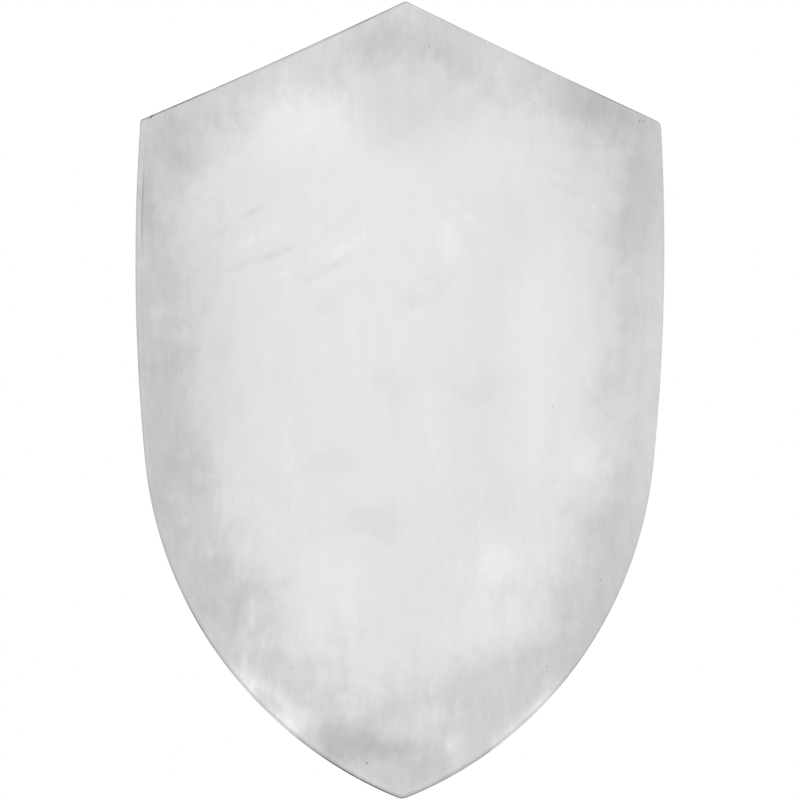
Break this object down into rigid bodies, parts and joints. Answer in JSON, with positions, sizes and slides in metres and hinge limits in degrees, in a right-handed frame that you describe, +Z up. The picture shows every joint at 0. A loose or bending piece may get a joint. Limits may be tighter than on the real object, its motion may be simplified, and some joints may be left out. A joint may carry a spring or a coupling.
{
  "type": "four point shield",
  "caption": "Curved steel shield with a gabled top, a pointed foot and a rolled edge, and a buckled forearm strap and a hand grip on its back.",
  "frame": {"origin": "the middle of the hand grip's leather, where the hand closes", "axes": "+Z up along the shield towards its top point, -Y out of the face, +X to the right as the face is seen from the front"},
  "size_m": [0.5074, 0.1188, 0.7615],
  "materials": {
    "plate_steel": "satin polished, brushed upright",
    "loop_steel": "mill bar, wire brushed after welding",
    "buckle_steel": "tumbled",
    "rivet_steel": "hammered over",
    "strap_leather": "oiled harness leather with burnished edges",
    "liner_leather": "undyed lining leather, flesh side in"
  },
  "bodies": {
    "shield": {"shield_plate": "plate_steel", "arm_strap_buckle_half": "strap_leather", "arm_strap_tail_half": "strap_leather", "grip_strap": "strap_leather", "grip_liner": "liner_leather", "buckle_frame": "buckle_steel", "arm_loop_upper": "loop_steel", "arm_loop_lower": "loop_steel", "grip_loop_upper": "loop_steel", "grip_loop_lower": "loop_steel", "rivet_arm_upper_left": "rivet_steel", "rivet_arm_upper_right": "rivet_steel", "rivet_arm_lower_left": "rivet_steel", "rivet_arm_lower_right": "rivet_steel", "rivet_grip_upper_left": "rivet_steel", "rivet_grip_upper_right": "rivet_steel", "rivet_grip_lower_left": "rivet_steel", "rivet_grip_lower_right": "rivet_steel", "rivet_buckle_1": "rivet_steel", "rivet_buckle_2": "rivet_steel", "burr_arm_upper_left": "rivet_steel", "burr_arm_upper_right": "rivet_steel", "burr_arm_lower_left": "rivet_steel", "burr_arm_lower_right": "rivet_steel", "burr_grip_upper_left": "rivet_steel", "burr_grip_upper_right": "rivet_steel", "burr_grip_lower_left": "rivet_steel", "burr_grip_lower_right": "rivet_steel", "burr_buckle_1": "rivet_steel", "burr_buckle_2": "rivet_steel"},
    "prong": {"buckle_prong": "buckle_steel"},
    "keeper": {"strap_keeper": "strap_leather"}
  },
  "joints": [
    {"name": "prong_hinge", "type": "hinge", "parent": "shield", "child": "prong", "pos_m": [0.20069, 0.03102, -0.004], "axis": [0.9822, 0.188, 0], "range_deg": [0, 10]},
    {"name": "keeper_slide", "type": "slide", "parent": "shield", "child": "keeper", "axis": [0, 0, 1], "range_m": [-0.002, 0.002]}
  ]
}
